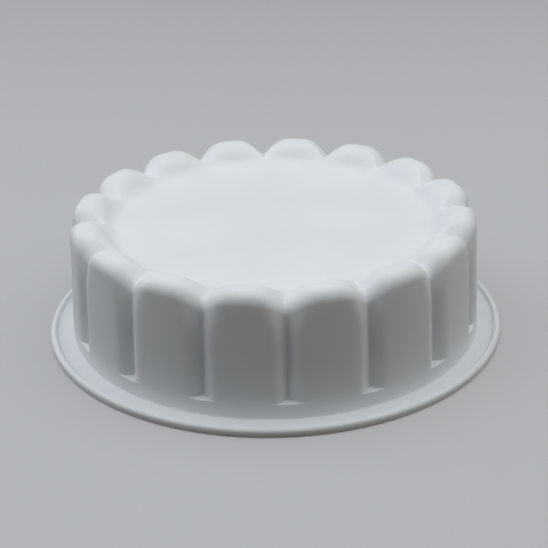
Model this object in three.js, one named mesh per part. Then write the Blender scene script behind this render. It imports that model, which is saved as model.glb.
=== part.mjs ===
// Silicone mousse cake mould standing upside down: sixteen rounded fingers round a
// recessed flat centre, on a plain band, with a flat flange and a raised rim at the
// open end. One moulding of one skin, given here in zones that touch without gaps.
// Millimetres, +Z up, the open end resting on z = 0, a groove facing -Y.
import * as THREE from "three";

// Flange and raised rim round the open end
const RIM_R = 110;
const RIM_W = 3.5;
const RIM_RISE = 1.8;
const RIM_LEAN = 0.8;
// Rounds along the rim's top, as shares of its width: a broad one outside, a small one inside
const RIM_OUTER_SHARE = 0.72;
const RIM_INNER_SHARE = 0.3;
const RIM_FOOT_ROUND = 0.9;
const FLANGE_T = 2.4;
const FLANGE_W = 11.2;
const MOUTH_ROUND = 0.8;

// Body: skin, taper of the wall for release, overall height
const SKIN = 2.5;
const DRAFT = THREE.MathUtils.degToRad(2.3);
const HEIGHT = 61.5;

// Plain band under the fingers; the grooves end on it in small ledges
const BAND_H = 7.3;
const LEDGE_SLOPE = 1;

// Fingers: their width along the wall's foot (as many as come nearest to it), depth of the
// grooves, and the power by which a finger's section falls to them
const FINGER_W = 38.8;
const GROOVE_DEPTH = 4.1;
const DOME_POWER = 2.2;
// Share of a finger's width that is plain, on the wall and on the top, outside and inside
const FACE_SHARE = 0.6;
const TOP_SHARE = 0.2;
const FACE_SHARE_IN = 0.68;
const TOP_SHARE_IN = 0.36;
// Height below the tops from which the face starts to dome
const DOME_DROP = 17.5;
// Rounded tops: outer shoulder, plain crest, fall to the centre
const SHOULDER_ROUND = 6.4;
const CREST_W = 2;
const CREST_ROUND = 10;
const FALL_ANGLE = THREE.MathUtils.degToRad(50);
const FOOT_ROUND = 6.5;
const FOOT_REACH = 0.75;
// Draw-back of the fall's head towards a finger's sides, which rounds its inner end
const SCALLOP = 6;
// Grooves over the top: a short rise from the centre, a low saddle, a lean outward, a shoulder
const SADDLE_RISE = 2;
const SADDLE_ANGLE = THREE.MathUtils.degToRad(30);
const SADDLE_ROUND = 4;
const SADDLE_DROP = 2.2;
const GROOVE_ROUND = 6;
// Least round on the inside of the skin
const LEAST_ROUND = 0.8;

// Recessed centre, measured down from the finger tops
const CENTRE_DROP = 7.9;

// Steps used for the curves
const SHOULDER_STEPS = 4;
const TOP_STEPS = 3;
const SMALL_STEPS = 2;
const EDGE_STEPS = 4;
// Stations across half a finger, from the edge of its plain crest to the groove (1)
const HALF_STATIONS = [TOP_SHARE, 0.45, 0.65, 0.83, 1];

// Sizes that follow from the ones above
const FRONT = -Math.PI / 2;
const RIM_H = FLANGE_T + RIM_RISE;
const RIM_OUTER_ROUND = RIM_OUTER_SHARE * (RIM_W - RIM_LEAN);
const RIM_INNER_ROUND = RIM_INNER_SHARE * (RIM_W - RIM_LEAN);
const WALL_R = RIM_R - FLANGE_W;
const FINGERS = Math.round((2 * Math.PI * WALL_R) / FINGER_W);
const HALF_PITCH = Math.PI / FINGERS;
const LEDGE_Z = FLANGE_T + BAND_H;
const CENTRE_Z = HEIGHT - CENTRE_DROP;
const DOME_Z = HEIGHT - DOME_DROP;
const ACROSS = [...HALF_STATIONS.map((u) => -u).reverse(), ...HALF_STATIONS];
// Rows along a finger's line: ledge level, start of the dome, then the shoulder
const SHOULDER_ROW = 2;
const CREST_ROW = SHOULDER_ROW + SHOULDER_STEPS;

const silicone = {
  color: 0xe6e9ee,
  roughness: 0.55,
  metalness: 0,
};

// Outer radius of the tapered wall at a height
function wallR(z) {
  return WALL_R - Math.tan(DRAFT) * (z - FLANGE_T);
}

// Line through corner points [radius, height] with each inner corner rounded
function roundedLine(corners, rounds, steps) {
  const line = [corners[0]];
  for (let i = 1; i < corners.length - 1; i += 1) {
    const corner = new THREE.Vector2(...corners[i]);
    const back = new THREE.Vector2(...corners[i - 1]).sub(corner).normalize();
    const ahead = new THREE.Vector2(...corners[i + 1]).sub(corner).normalize();
    const half = Math.acos(back.dot(ahead)) / 2;
    const middle = back.clone().add(ahead).normalize();
    const centre = corner.clone().addScaledVector(middle, rounds[i - 1] / Math.sin(half));
    const run = rounds[i - 1] / Math.tan(half);
    const from = corner.clone().addScaledVector(back, run).sub(centre);
    const to = corner.clone().addScaledVector(ahead, run).sub(centre);
    const sweep = Math.atan2(from.cross(to), from.dot(to));
    for (let k = 0; k <= steps[i - 1]; k += 1) {
      const turned = from.clone().rotateAround(new THREE.Vector2(), (sweep * k) / steps[i - 1]);
      line.push([centre.x + turned.x, centre.y + turned.y]);
    }
  }
  line.push(corners[corners.length - 1]);
  return line;
}

// Radius of an outside corner on a face that lies deeper in the skin
function deeper(round, depth) {
  return Math.max(round - depth, LEAST_ROUND);
}

const SHOULDER_R = wallR(HEIGHT) - SHOULDER_ROUND * Math.tan((Math.PI / 2 - DRAFT) / 2);
const CREST_R = SHOULDER_R - CREST_W - CREST_ROUND * Math.tan(FALL_ANGLE / 2);
const FALL_R = CREST_R - CENTRE_DROP / Math.tan(FALL_ANGLE);
const DISC_R = FALL_R - FOOT_ROUND * Math.tan(FALL_ANGLE / 2) - FOOT_REACH;
const SADDLE_R = FALL_R + SADDLE_RISE / Math.tan(SADDLE_ANGLE);

// Middle line of a finger, from the ledge level up and over to the centre,
// at a depth below the outer face
function crownLine(depth) {
  const shift = depth * Math.tan(FALL_ANGLE / 2);
  const top = HEIGHT - depth;
  const low = CENTRE_Z - depth;
  const corners = [
    [wallR(DOME_Z) - depth, DOME_Z],
    [wallR(top) - depth, top],
    [CREST_R + shift, top],
    [FALL_R + shift, low],
    [DISC_R, low],
  ];
  const rounds = [deeper(SHOULDER_ROUND, depth), deeper(CREST_ROUND, depth), FOOT_ROUND + depth];
  const steps = [SHOULDER_STEPS, TOP_STEPS, TOP_STEPS];
  return [[wallR(LEDGE_Z) - depth, LEDGE_Z], ...roundedLine(corners, rounds, steps)];
}

// Line of a groove at the same depth, row for row with the finger's middle
function grooveLine(depth) {
  const low = CENTRE_Z - depth;
  const saddle = low + SADDLE_RISE;
  const bed = (z) => [wallR(z) - GROOVE_DEPTH - depth, z];
  const corners = [
    bed(DOME_Z),
    bed(saddle - SADDLE_DROP),
    [SADDLE_R + depth * Math.tan(SADDLE_ANGLE / 2), saddle],
    [FALL_R + depth * Math.tan(SADDLE_ANGLE / 2), low],
    [DISC_R, low],
  ];
  const rounds = [deeper(GROOVE_ROUND, depth), deeper(SADDLE_ROUND, depth), FOOT_ROUND + depth];
  const steps = [SHOULDER_STEPS, TOP_STEPS, TOP_STEPS];
  return [bed(LEDGE_Z), ...roundedLine(corners, rounds, steps)];
}

// Outer section of a finger: 0 on its plain part, 1 in the groove, a power between
function outerSection(u, doming) {
  const share = THREE.MathUtils.lerp(FACE_SHARE, TOP_SHARE, doming);
  return Math.max(0, (Math.abs(u) - share) / (1 - share)) ** DOME_POWER;
}

// Inner section of a finger: the same ends, eased at both, so the ridge behind a groove is round
function innerSection(u, doming) {
  const share = THREE.MathUtils.lerp(FACE_SHARE_IN, TOP_SHARE_IN, doming);
  return THREE.MathUtils.smoothstep(Math.abs(u), share, 1);
}

// How domed a row is: not at all on the plain face, wholly from the crest to the centre
function domingAt(row, z) {
  return row > CREST_ROW ? 1 : THREE.MathUtils.smoothstep(z, DOME_Z, HEIGHT);
}

// How far a row draws back at a station: nothing at the fall's foot, most at its head and
// nothing again at the shoulder
function drawnBack(r, u) {
  const rising = THREE.MathUtils.smoothstep(r, FALL_R, CREST_R);
  return SCALLOP * u * u * rising * (1 - THREE.MathUtils.smoothstep(r, CREST_R, SHOULDER_R));
}

// Grid of [radius, height] over one finger at a depth, row by row from the ledge level
function fingerGrid(depth, section) {
  const crown = crownLine(depth);
  const groove = grooveLine(depth);
  return crown.map(([r, z], row) => ACROSS.map((u) => {
    const fallen = section(u, domingAt(row, z));
    return [
      THREE.MathUtils.lerp(r + drawnBack(r, u), groove[row][0], fallen),
      THREE.MathUtils.lerp(z, groove[row][1], fallen),
    ];
  }));
}

const OUTER = fingerGrid(0, outerSection);
const INNER = fingerGrid(SKIN, innerSection);

function fingerAngle(index, u) {
  return FRONT + HALF_PITCH * (2 * index + 1 + u);
}

function namedMesh(name, points, faces) {
  const geometry = new THREE.BufferGeometry();
  geometry.setAttribute("position", new THREE.Float32BufferAttribute(points.flat(), 3));
  geometry.setIndex(faces.flat());
  geometry.computeVertexNormals();
  const mesh = new THREE.Mesh(geometry, new THREE.MeshStandardMaterial(silicone));
  mesh.name = name;
  return mesh;
}

function place([r, z], angle) {
  return [r * Math.cos(angle), r * Math.sin(angle), z];
}

// One finger: outer and inner face, its two sides in the grooves, its foot and its inner end
function fingerMesh(index) {
  const rows = OUTER.length;
  const columns = ACROSS.length;
  const points = [];
  for (const grid of [OUTER, INNER]) {
    for (const row of grid) {
      row.forEach((point, c) => points.push(place(point, fingerAngle(index, ACROSS[c]))));
    }
  }
  const at = (layer, r, c) => (layer * rows + r) * columns + c;
  const faces = [];
  const quad = (a, b, c, d) => faces.push([a, b, c], [a, c, d]);
  for (let r = 0; r < rows - 1; r += 1) {
    for (let c = 0; c < columns - 1; c += 1) {
      quad(at(0, r, c), at(0, r, c + 1), at(0, r + 1, c + 1), at(0, r + 1, c));
      quad(at(1, r, c), at(1, r + 1, c), at(1, r + 1, c + 1), at(1, r, c + 1));
    }
    quad(at(0, r, 0), at(0, r + 1, 0), at(1, r + 1, 0), at(1, r, 0));
    const e = columns - 1;
    quad(at(0, r, e), at(1, r, e), at(1, r + 1, e), at(0, r + 1, e));
  }
  for (let c = 0; c < columns - 1; c += 1) {
    const end = rows - 1;
    quad(at(0, 0, c), at(1, 0, c), at(1, 0, c + 1), at(0, 0, c + 1));
    quad(at(0, end, c), at(0, end, c + 1), at(1, end, c + 1), at(1, end, c));
  }
  return namedMesh(`finger_${String(index + 1).padStart(2, "0")}`, points, faces);
}

// Closed ring swept round the axis; the profile runs anticlockwise seen with +Z up
function ringMesh(name, profileAt) {
  const stations = ACROSS.slice(0, -1);
  const points = [];
  for (let index = 0; index < FINGERS; index += 1) {
    stations.forEach((u, c) => {
      const angle = fingerAngle(index, u);
      profileAt(c).forEach((point) => points.push(place(point, angle)));
    });
  }
  const around = FINGERS * stations.length;
  const corners = points.length / around;
  const faces = [];
  for (let s = 0; s < around; s += 1) {
    const next = (s + 1) % around;
    for (let k = 0; k < corners; k += 1) {
      const up = (k + 1) % corners;
      const here = s * corners;
      const there = next * corners;
      faces.push([here + k, there + k, there + up], [here + k, there + up, here + up]);
    }
  }
  return namedMesh(name, points, faces);
}

// Flat flange with the raised rim along its edge and a rounded mouth
function rimFlange() {
  const mouth = wallR(FLANGE_T) - SKIN;
  const corners = [
    [mouth, FLANGE_T],
    [mouth, 0],
    [RIM_R, 0],
    [RIM_R, RIM_H],
    [RIM_R - RIM_W + RIM_LEAN, RIM_H],
    [RIM_R - RIM_W, FLANGE_T],
  ];
  const rounds = [MOUTH_ROUND, RIM_FOOT_ROUND, RIM_OUTER_ROUND, RIM_INNER_ROUND];
  const steps = [SMALL_STEPS, SMALL_STEPS, EDGE_STEPS, SMALL_STEPS];
  const profile = roundedLine(corners, rounds, steps);
  return ringMesh("rim_flange", () => profile);
}

// Plain band between the flange and the fingers, with the ledges that end the grooves
function baseBand() {
  const under = LEDGE_Z - SKIN;
  const low = under - LEDGE_SLOPE;
  return ringMesh("base_band", (c) => {
    const inner = INNER[0][c][0];
    return [
      [wallR(FLANGE_T) - SKIN, FLANGE_T],
      [wallR(FLANGE_T), FLANGE_T],
      [wallR(LEDGE_Z), LEDGE_Z],
      [inner, LEDGE_Z],
      [inner, under],
      [wallR(low) - SKIN, low],
    ];
  });
}

// Recessed flat centre
function floorDisc() {
  const stations = ACROSS.slice(0, -1);
  const points = [];
  for (let index = 0; index < FINGERS; index += 1) {
    for (const u of stations) {
      const angle = fingerAngle(index, u);
      points.push(place([DISC_R, CENTRE_Z], angle), place([DISC_R, CENTRE_Z - SKIN], angle));
    }
  }
  const around = FINGERS * stations.length;
  const top = points.length;
  const bottom = top + 1;
  points.push([0, 0, CENTRE_Z], [0, 0, CENTRE_Z - SKIN]);
  const faces = [];
  for (let s = 0; s < around; s += 1) {
    const a = 2 * s;
    const b = 2 * ((s + 1) % around);
    faces.push([top, a, b], [bottom, b + 1, a + 1], [a, a + 1, b + 1], [a, b + 1, b]);
  }
  return namedMesh("floor_disc", points, faces);
}

const mould = new THREE.Group();
mould.name = "cake_mould";
mould.add(rimFlange(), baseBand(), floorDisc());
for (let index = 0; index < FINGERS; index += 1) {
  mould.add(fingerMesh(index));
}

export default mould;
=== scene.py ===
import bpy
import numpy as np
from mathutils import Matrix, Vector


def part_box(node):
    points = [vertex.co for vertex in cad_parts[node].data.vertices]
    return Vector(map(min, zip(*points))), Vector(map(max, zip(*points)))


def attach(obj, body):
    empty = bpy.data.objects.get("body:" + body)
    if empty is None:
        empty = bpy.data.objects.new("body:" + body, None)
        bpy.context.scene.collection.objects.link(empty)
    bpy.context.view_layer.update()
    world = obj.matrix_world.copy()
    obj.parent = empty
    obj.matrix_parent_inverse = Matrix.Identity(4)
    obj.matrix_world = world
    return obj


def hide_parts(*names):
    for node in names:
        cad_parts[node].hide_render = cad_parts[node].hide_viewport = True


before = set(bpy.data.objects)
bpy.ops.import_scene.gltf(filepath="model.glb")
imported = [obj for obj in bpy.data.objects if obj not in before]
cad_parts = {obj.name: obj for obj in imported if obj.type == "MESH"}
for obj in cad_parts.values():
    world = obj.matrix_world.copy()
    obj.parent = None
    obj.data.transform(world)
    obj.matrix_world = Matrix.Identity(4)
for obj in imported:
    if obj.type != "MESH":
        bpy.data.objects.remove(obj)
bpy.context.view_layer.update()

# Camera
# A long lens in front of the mould and a little above it, tilted slightly to one side.
# It is aimed near the middle of the body and turned a few degrees off the front groove.
LENS_MM = 92.55
SENSOR_MM = 36.0
CAMERA_DISTANCE = 0.6869
CAMERA_RISE = np.radians(25.55)
CAMERA_TURN = np.radians(-2.9)
CAMERA_ROLL = np.radians(-1.32)
AIM = np.array([-0.0001, 0.0, 0.0249])


def camera_axes(rise, turn, roll):
    """Right, up and backward directions of a camera that looks at the axis from a turn
    round it and a rise above it, then rolls about its own line of sight."""
    backward = np.array([np.cos(rise) * np.sin(turn), -np.cos(rise) * np.cos(turn), np.sin(rise)])
    level = np.array([np.cos(turn), np.sin(turn), 0.0])
    upright = np.cross(backward, level)
    right = np.cos(roll) * level + np.sin(roll) * upright
    up = np.cos(roll) * upright - np.sin(roll) * level
    return right, up, backward


right, up, backward = camera_axes(CAMERA_RISE, CAMERA_TURN, CAMERA_ROLL)
camera_data = bpy.data.cameras.new("camera")
camera_data.lens = LENS_MM
camera_data.sensor_fit = "HORIZONTAL"
camera_data.sensor_width = SENSOR_MM
camera = bpy.data.objects.new("camera", camera_data)
camera_place = np.eye(4)
camera_place[:3, 0] = right
camera_place[:3, 1] = up
camera_place[:3, 2] = backward
camera_place[:3, 3] = AIM + CAMERA_DISTANCE * backward
camera.matrix_world = camera_place.T.tolist()
bpy.context.scene.collection.objects.link(camera)
bpy.context.scene.camera = camera

# Mould skin
# The whole mould is one thin moulding of white silicone rubber, cast in one shot: fingers,
# centre, band, flange and rim run into each other with no seam, inside and out.
FINGERS = sum(node.startswith("finger_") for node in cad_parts)
RIM_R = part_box("rim_flange")[1].x
RIM_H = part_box("rim_flange")[1].z
WALL_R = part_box("base_band")[1].x
FLANGE_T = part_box("base_band")[0].z
LEDGE_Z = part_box("base_band")[1].z
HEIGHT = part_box("finger_01")[1].z
DISC_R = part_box("floor_disc")[1].x
CENTRE_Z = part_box("floor_disc")[1].z
SKIN = CENTRE_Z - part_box("floor_disc")[0].z
DRAFT = np.radians(2.3)

# Across a finger: depth of the grooves, the power by which the section falls to them, the
# height over which the face turns into the domed top, the share of the width that is plain
# on the face and on the top, outside and inside, and how soft the groove's bottom is
GROOVE_DEPTH = 0.0041
DOME_POWER = 2.2
DOME_DROP = 0.0175
FACE_SHARE = 0.6
TOP_SHARE = 0.2
FACE_SHARE_IN = 0.68
TOP_SHARE_IN = 0.36
FACE_SOFT = 0.03
TOP_SOFT = 0.09

# Over a finger's top: outer shoulder, plain crest, fall to the centre, and how far the
# fall's head draws back towards the finger's sides
SHOULDER_ROUND = 0.0064
CREST_W = 0.002
CREST_ROUND = 0.01
FALL_ANGLE = np.radians(50)
FOOT_ROUND = 0.0065
SCALLOP = 0.006

# Grooves over the top: a short rise from the centre, a low saddle, a lean outward, a shoulder
SADDLE_RISE = 0.002
SADDLE_ANGLE = np.radians(30)
SADDLE_ROUND = 0.004
SADDLE_DROP = 0.0022
GROOVE_ROUND = 0.006

# Small ledges that end the grooves, the wall's foot, the raised rim and the mouth
LEDGE_ROOT = 0.0007
LEDGE_EDGE = 0.0004
LEDGE_SLOPE = 0.001
WALL_FILLET = 0.0008
RIM_W = 0.0035
RIM_LEAN = 0.0008
RIM_INNER_ROUND = 0.0008
RIM_OUTER_ROUND = 0.00194
RIM_FILLET = 0.0009
RIM_FOOT_ROUND = 0.0009
MOUTH_ROUND = 0.0008


def wall_r(z):
    """Outer radius of the wall: it narrows evenly with height, for release."""
    return WALL_R - np.tan(DRAFT) * (z - FLANGE_T)


def rounded(corners, rounds, steps):
    """A line through corner points (radius, height), with an arc of the given radius in
    place of each inner corner. Each arc is sampled evenly from tangent to tangent."""
    corners = np.asarray(corners, float)
    line = [corners[:1]]
    for before, corner, after, r, n in zip(corners, corners[1:], corners[2:], rounds, steps):
        back = (before - corner) / np.linalg.norm(before - corner)
        ahead = (after - corner) / np.linalg.norm(after - corner)
        half = np.arccos(back @ ahead) / 2
        middle = (back + ahead) / np.linalg.norm(back + ahead)
        start = back * r / np.tan(half) - middle * r / np.sin(half)
        side = np.sign(back[0] * ahead[1] - back[1] * ahead[0])
        turn = -side * np.linspace(0, np.pi - 2 * half, n + 1)
        arc = np.stack([
            start[0] * np.cos(turn) - start[1] * np.sin(turn),
            start[0] * np.sin(turn) + start[1] * np.cos(turn),
        ], -1)
        line.append(corner + middle * r / np.sin(half) + arc)
    line.append(corners[-1:])
    return np.vstack(line)


def straight(start, end, n):
    """Points spaced evenly from start to end, without the two ends."""
    t = np.linspace(0, 1, n + 2)[1:-1, None]
    return np.asarray(start) * (1 - t) + np.asarray(end) * t


def smooth(t):
    """A smooth step: 0 below 0, 1 above 1, level at both ends."""
    t = np.clip(t, 0, 1)
    return t * t * (3 - 2 * t)


# Steps in a large and a small arc, and rows on the straight stretches between arcs
ARC = 14
SMALL_ARC = 6
WALL_ROWS = 10
BAND_ROWS = 3
DISC_ROWS = 8

SHOULDER_R = wall_r(HEIGHT) - SHOULDER_ROUND * np.tan((np.pi / 2 - DRAFT) / 2)
CREST_R = SHOULDER_R - CREST_W - CREST_ROUND * np.tan(FALL_ANGLE / 2)
FALL_R = CREST_R - (HEIGHT - CENTRE_Z) / np.tan(FALL_ANGLE)
SADDLE_R = FALL_R + SADDLE_RISE / np.tan(SADDLE_ANGLE)


def over_the_top(depth):
    """Two matched lines over a finger's top, from the centre's edge to the start of the
    wall, at a depth in the skin: one along the finger's middle (fall, crest, shoulder) and
    one along the groove (short rise, a saddle that leans outward, shoulder)."""
    top = HEIGHT - depth
    low = CENTRE_Z - depth
    shift = depth * np.tan(FALL_ANGLE / 2)
    crown = rounded(
        [[DISC_R, low], [FALL_R + shift, low], [CREST_R + shift, top],
         [wall_r(top) - depth, top], [wall_r(LEDGE_Z) - depth, LEDGE_Z]],
        [FOOT_ROUND + depth, CREST_ROUND - depth, SHOULDER_ROUND - depth],
        [ARC, ARC, ARC])
    saddle = low + SADDLE_RISE
    end = saddle - SADDLE_DROP
    shift = depth * np.tan(SADDLE_ANGLE / 2)
    inset = GROOVE_DEPTH + depth
    groove = rounded(
        [[DISC_R, low], [FALL_R + shift, low], [SADDLE_R + shift, saddle],
         [wall_r(end) - inset, end], [wall_r(LEDGE_Z) - inset, LEDGE_Z]],
        [FOOT_ROUND + depth, SADDLE_ROUND - depth, GROOVE_ROUND - depth],
        [ARC, ARC, ARC])
    return crown[:-1], groove[:-1]


# Outside, from the middle of the top to the wall's foot
crown_top, groove_top = over_the_top(0)
disc_rows = straight([0, CENTRE_Z], [DISC_R, CENTRE_Z], DISC_ROWS)
ledge_out = rounded(
    [groove_top[-1], [wall_r(LEDGE_Z) - GROOVE_DEPTH, LEDGE_Z],
     [wall_r(LEDGE_Z), LEDGE_Z], [WALL_R, FLANGE_T]],
    [LEDGE_ROOT, LEDGE_EDGE], [SMALL_ARC, SMALL_ARC])[1:-1]
ledge_high = LEDGE_Z + LEDGE_ROOT
ledge_low = ledge_out[-1, 1]
beside_ledge = np.linspace(ledge_high, ledge_low, len(ledge_out))
crown_ledge = np.stack([wall_r(beside_ledge), beside_ledge], -1)
crown_wall = straight(crown_top[-1], crown_ledge[0], WALL_ROWS)
groove_wall = straight(groove_top[-1], ledge_out[0], WALL_ROWS)

# Flange, rim, underside and mouth, the same all round
mouth_r = WALL_R - SKIN
hem_rounds = [
    WALL_FILLET, RIM_FILLET, RIM_INNER_ROUND, RIM_OUTER_ROUND, RIM_FOOT_ROUND, MOUTH_ROUND]
hem = rounded(
    [crown_ledge[-1], [WALL_R, FLANGE_T], [RIM_R - RIM_W, FLANGE_T],
     [RIM_R - RIM_W + RIM_LEAN, RIM_H], [RIM_R, RIM_H], [RIM_R, 0], [mouth_r, 0],
     [mouth_r, FLANGE_T]],
    hem_rounds, [SMALL_ARC] * len(hem_rounds))[1:]
band_rows = straight(crown_ledge[-1], hem[0], BAND_ROWS)

# Inside, from the mouth up to the underside of the top
crown_in, groove_in = (rows[::-1] for rows in over_the_top(SKIN))
ledge_in_high = LEDGE_Z - SKIN
ledge_in_low = ledge_in_high - LEDGE_SLOPE
ledge_in = rounded(
    [[mouth_r, FLANGE_T], [wall_r(ledge_in_low) - SKIN, ledge_in_low],
     [wall_r(ledge_in_high) - GROOVE_DEPTH - SKIN, ledge_in_high], groove_in[0]],
    [LEDGE_ROOT, LEDGE_ROOT], [SMALL_ARC, SMALL_ARC])[1:-1]
beside_ledge_in = np.linspace(ledge_in_low - LEDGE_ROOT, ledge_in_high + LEDGE_ROOT, len(ledge_in))
crown_ledge_in = np.stack([wall_r(beside_ledge_in) - SKIN, beside_ledge_in], -1)
crown_wall_in = straight(crown_ledge_in[-1], crown_in[0], WALL_ROWS)
groove_wall_in = straight(ledge_in[-1], groove_in[0], WALL_ROWS)
disc_rows_in = straight([DISC_R, CENTRE_Z - SKIN], [0, CENTRE_Z - SKIN], DISC_ROWS)

# The whole profile, once along a finger's middle and once along a groove, row for row
crown_line = np.vstack([
    disc_rows, crown_top, crown_wall, crown_ledge, band_rows, hem,
    crown_ledge_in, crown_wall_in, crown_in, disc_rows_in])
groove_line = np.vstack([
    disc_rows, groove_top, groove_wall, ledge_out, band_rows, hem,
    ledge_in, groove_wall_in, groove_in, disc_rows_in])
outside = len(disc_rows) + len(crown_top) + len(crown_wall) + len(crown_ledge) + len(band_rows)
is_outside = np.arange(len(crown_line)) < outside
# 0 on the domed top and 1 on the face below it
dome = smooth((HEIGHT - crown_line[:, 1]) / DOME_DROP)
ease_line = np.where(crown_line[:, 0] > SHOULDER_R, dome, 0)

COLUMNS = 30


def finger_outside(across, ease):
    """How far the outside has sunk across a finger, 0 in its middle and 1 in the groove: level
    for a share of the width, little on the domed top and much on the face, then a power of
    the distance. That distance is rounded off at the groove, well on top and little on the
    face, which makes the bottom of the groove round."""
    share = TOP_SHARE + (FACE_SHARE - TOP_SHARE) * ease
    soft = TOP_SOFT + (FACE_SOFT - TOP_SOFT) * ease
    to_groove = np.hypot(1 - np.abs(across), soft) - soft
    return np.clip(1 - to_groove / (np.hypot(1 - share, soft) - soft), 0, 1) ** DOME_POWER


def finger_inside(across, ease):
    """The same for the inside: level for a share of the width, then an even ease at both
    ends, so that the ridge behind each groove is round."""
    share = TOP_SHARE_IN + (FACE_SHARE_IN - TOP_SHARE_IN) * ease
    return smooth((np.abs(across) - share) / (1 - share))


def scallop(r):
    """Weight of the round inner end of a finger's top by radius: nothing at the fall's foot,
    whole at its head, and nothing again at the shoulder."""
    up_the_fall = smooth((r - FALL_R) / (CREST_R - FALL_R))
    over_the_crest = smooth((SHOULDER_R - r) / (SHOULDER_R - CREST_R))
    return up_the_fall * over_the_crest


def skin_points():
    """The closed skin as a grid: rows along the profile, columns round the axis. A point is
    the finger's middle line and the groove's line mixed by the finger's section, and the
    top's inner end draws back to the sides by the square of the distance."""
    even = np.linspace(-1, 1, COLUMNS + 1)[:-1]
    across = np.sin(even * np.pi / 2)
    ease = ease_line[:, None]
    mix = np.where(is_outside[:, None], finger_outside(across, ease), finger_inside(across, ease))
    section = crown_line[:, None] * (1 - mix[..., None]) + groove_line[:, None] * mix[..., None]
    drawn = SCALLOP * across ** 2 * scallop(crown_line[:, :1]) * (1 - mix)
    turn = (np.arange(FINGERS)[:, None] * 2 + 1 + across[None, :]).ravel() * np.pi / FINGERS
    r = np.tile(section[..., 0] + drawn, (1, FINGERS))
    z = np.tile(section[..., 1], (1, FINGERS))
    return np.stack([r * np.sin(turn), -r * np.cos(turn), z], -1)


def skin_faces(rows, columns):
    """Quads between neighbouring rows, closed round the axis, and a fan of triangles from
    each end row to its pole. The poles are the two vertices after the grid."""
    here = np.arange(columns)
    there = (here + 1) % columns
    row = np.arange(rows - 1)[:, None] * columns
    quads = np.stack([row + here, row + columns + here, row + columns + there, row + there], -1)
    last = (rows - 1) * columns
    top_pole = np.full(columns, rows * columns)
    top_fan = np.stack([top_pole, here, there], -1)
    under_fan = np.stack([top_pole + 1, last + there, last + here], -1)
    return quads.reshape(-1, 4).tolist() + top_fan.tolist() + under_fan.tolist()


grid = skin_points()
poles = [[0, 0, CENTRE_Z], [0, 0, CENTRE_Z - SKIN]]
points = np.vstack([grid.reshape(-1, 3), poles])
skin_mesh = bpy.data.meshes.new("mould_skin")
skin_mesh.from_pydata(points.tolist(), [], skin_faces(*grid.shape[:2]))
skin_mesh.shade_smooth()
skin_mesh.update()
mould_skin = bpy.data.objects.new("mould_skin", skin_mesh)
bpy.context.scene.collection.objects.link(mould_skin)

# White silicone: slow mottle between two whites, fine grain, slow unevenness, and a little
# light that passes into the rubber
MOTTLE_SCALE = 24
MOTTLE_DETAIL = 3
MOTTLE_LOW, MOTTLE_HIGH = 0.3, 0.7
BLUISH_WHITE = (0.765, 0.79, 0.835, 1)
PLAIN_WHITE = (0.80, 0.82, 0.85, 1)
GRAIN_SCALE = 1800
GRAIN_DETAIL = 2
GRAIN_HEIGHT = 0.0002
UNEVEN_STRENGTH = 0.25
UNEVEN_HEIGHT = 0.0006
SCATTER_SHARE = 0.35
SCATTER_BY_COLOUR = (1.0, 1.0, 1.0)
SCATTER_REACH = 0.002
SILICONE_IOR = 1.41


def white_silicone(name, smoothest, roughest, grain_strength):
    """White silicone as moulded: a slightly bluish white, mottled very faintly, with a fine
    grain of the given strength, a gloss between two roughnesses and a slow unevenness."""
    material = bpy.data.materials.new(name)
    material.use_nodes = True
    nodes = material.node_tree.nodes
    link = material.node_tree.links.new
    shader = nodes["Principled BSDF"]
    place = nodes.new("ShaderNodeTexCoord")

    mottle = nodes.new("ShaderNodeTexNoise")
    mottle.inputs["Scale"].default_value = MOTTLE_SCALE
    mottle.inputs["Detail"].default_value = MOTTLE_DETAIL
    tint = nodes.new("ShaderNodeValToRGB")
    tint.color_ramp.elements[0].position = MOTTLE_LOW
    tint.color_ramp.elements[0].color = BLUISH_WHITE
    tint.color_ramp.elements[1].position = MOTTLE_HIGH
    tint.color_ramp.elements[1].color = PLAIN_WHITE
    link(place.outputs["Object"], mottle.inputs["Vector"])
    link(mottle.outputs["Fac"], tint.inputs["Fac"])
    link(tint.outputs["Color"], shader.inputs["Base Color"])

    wear = nodes.new("ShaderNodeMapRange")
    wear.inputs["To Min"].default_value = smoothest
    wear.inputs["To Max"].default_value = roughest
    link(mottle.outputs["Fac"], wear.inputs["Value"])
    link(wear.outputs["Result"], shader.inputs["Roughness"])

    grain = nodes.new("ShaderNodeTexNoise")
    grain.inputs["Scale"].default_value = GRAIN_SCALE
    grain.inputs["Detail"].default_value = GRAIN_DETAIL
    link(place.outputs["Object"], grain.inputs["Vector"])
    fine = nodes.new("ShaderNodeBump")
    fine.inputs["Strength"].default_value = grain_strength
    fine.inputs["Distance"].default_value = GRAIN_HEIGHT
    link(grain.outputs["Fac"], fine.inputs["Height"])
    slow = nodes.new("ShaderNodeBump")
    slow.inputs["Strength"].default_value = UNEVEN_STRENGTH
    slow.inputs["Distance"].default_value = UNEVEN_HEIGHT
    link(mottle.outputs["Fac"], slow.inputs["Height"])
    link(fine.outputs["Normal"], slow.inputs["Normal"])
    link(slow.outputs["Normal"], shader.inputs["Normal"])

    shader.inputs["Subsurface Weight"].default_value = SCATTER_SHARE
    shader.inputs["Subsurface Radius"].default_value = SCATTER_BY_COLOUR
    shader.inputs["Subsurface Scale"].default_value = SCATTER_REACH
    shader.inputs["IOR"].default_value = SILICONE_IOR
    return material


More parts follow.
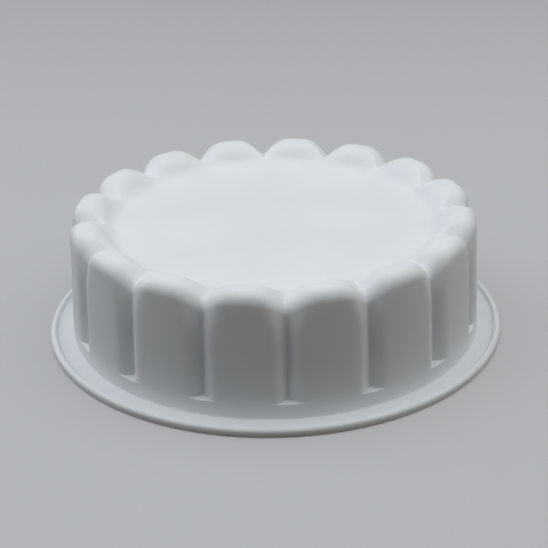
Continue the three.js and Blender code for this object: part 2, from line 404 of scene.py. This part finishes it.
# The outside is satin from a blasted tool, the inside smoother so that cakes come away clean
skin_mesh.materials.append(
    white_silicone("satin_silicone", smoothest=0.32, roughest=0.42, grain_strength=0.12))
skin_mesh.materials.append(
    white_silicone("smooth_silicone", smoothest=0.24, roughest=0.32, grain_strength=0.04))
strip_inside = np.arange(len(crown_line) - 1) >= outside + len(hem)
around = COLUMNS * FINGERS
finish = np.r_[np.repeat(strip_inside, around), np.zeros(around), np.ones(around)]
skin_mesh.polygons.foreach_set("material_index", finish.astype(np.int32))
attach(mould_skin, "root")
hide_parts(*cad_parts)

# Floor
# A plain pale sheet under the mould, large enough to fill the view from any side. It glows a
# little where it is seen and sends little light back, so that the walls keep their shade.
FLOOR_HALF = 6.0
FLOOR_PALE = (0.27, 0.275, 0.285, 1)
FLOOR_GLOW = (0.21, 0.214, 0.22, 1)
FLOOR_BOUNCE = (0.06, 0.057, 0.05, 1)
FLOOR_ROUGHNESS = 0.9

floor_mesh = bpy.data.meshes.new("floor")
floor_mesh.from_pydata(
    [(-FLOOR_HALF, -FLOOR_HALF, 0), (FLOOR_HALF, -FLOOR_HALF, 0),
     (FLOOR_HALF, FLOOR_HALF, 0), (-FLOOR_HALF, FLOOR_HALF, 0)], [], [(0, 1, 2, 3)])
floor = bpy.data.objects.new("floor", floor_mesh)
bpy.context.scene.collection.objects.link(floor)


def seen_directly(tree):
    """1 for what the camera sees, by itself or in a reflection or through glass, and 0 for
    the light that bounces: the largest of three of the light path's marks."""
    path = tree.nodes.new("ShaderNodeLightPath")
    mark = path.outputs["Is Camera Ray"]
    for other in ("Is Glossy Ray", "Is Transmission Ray"):
        larger = tree.nodes.new("ShaderNodeMath")
        larger.operation = "MAXIMUM"
        tree.links.new(mark, larger.inputs[0])
        tree.links.new(path.outputs[other], larger.inputs[1])
        mark = larger.outputs["Value"]
    return mark


def seen_colour(tree, seen, bounced):
    """One colour for what is seen and another for the light that bounces."""
    colour = tree.nodes.new("ShaderNodeMix")
    colour.data_type = "RGBA"
    colour.inputs["A"].default_value = bounced
    colour.inputs["B"].default_value = seen
    tree.links.new(seen_directly(tree), colour.inputs["Factor"])
    return colour.outputs["Result"]


floor_material = bpy.data.materials.new("pale_floor")
floor_material.use_nodes = True
floor_tree = floor_material.node_tree
floor_shader = floor_tree.nodes["Principled BSDF"]
floor_shader.inputs["Roughness"].default_value = FLOOR_ROUGHNESS
floor_shader.inputs["Emission Color"].default_value = FLOOR_GLOW
floor_tree.links.new(seen_directly(floor_tree), floor_shader.inputs["Emission Strength"])
floor_colour = seen_colour(floor_tree, FLOOR_PALE, FLOOR_BOUNCE)
floor_tree.links.new(floor_colour, floor_shader.inputs["Base Color"])
floor_mesh.materials.append(floor_material)

# Light
# A wide soft box overhead, a soft card behind at the left, a weak one in front at the right
# and a very faint even fill, as in a small product studio. The backdrop is pale where seen.
BOX_PLACE = (0, 0, 0.75)
BOX_SIZE = (4.4, 1.1)
BOX_POWER = 20.6
BOX_WHITE = (0.97, 1.0, 0.995)
BACK_PLACE = (-1.2, 1.0, 0.7)
FRONT_PLACE = (1.6, -1.0, 0.5)
CARD_SIZE = (0.9, 0.9)
BACK_POWER = 4.2
BACK_WHITE = (0.84, 0.86, 1.0)
FRONT_POWER = 1.2
FRONT_WHITE = (1.0, 0.87, 0.6)
FILL_WHITE = (0.045, 0.045, 0.035, 1)
BACKDROP_PALE = (0.3, 0.304, 0.312, 1)


def soft_light(name, place, size, power, colour):
    """A rectangle that shines evenly, at a place, turned towards the middle of the mould."""
    light_data = bpy.data.lights.new(name, "AREA")
    light_data.shape = "RECTANGLE"
    light_data.size, light_data.size_y = size
    light_data.energy = power
    light_data.color = colour
    light = bpy.data.objects.new(name, light_data)
    light.location = place
    away = Vector(place) - Vector((0, 0, HEIGHT / 2))
    light.rotation_euler = away.to_track_quat("Z", "Y").to_euler()
    bpy.context.scene.collection.objects.link(light)


soft_light("soft_box", BOX_PLACE, BOX_SIZE, BOX_POWER, BOX_WHITE)
soft_light("back_card", BACK_PLACE, CARD_SIZE, BACK_POWER, BACK_WHITE)
soft_light("front_card", FRONT_PLACE, CARD_SIZE, FRONT_POWER, FRONT_WHITE)
world = bpy.data.worlds.new("studio")
world.use_nodes = True
backdrop = world.node_tree.nodes["Background"]
backdrop_colour = seen_colour(world.node_tree, BACKDROP_PALE, FILL_WHITE)
world.node_tree.links.new(backdrop_colour, backdrop.inputs["Color"])
bpy.context.scene.world = world
bpy.context.scene.view_settings.view_transform = "Standard"


def corners(box):
    """The two corners of a box as plain lists."""
    return [[float(v) for v in corner] for corner in box]
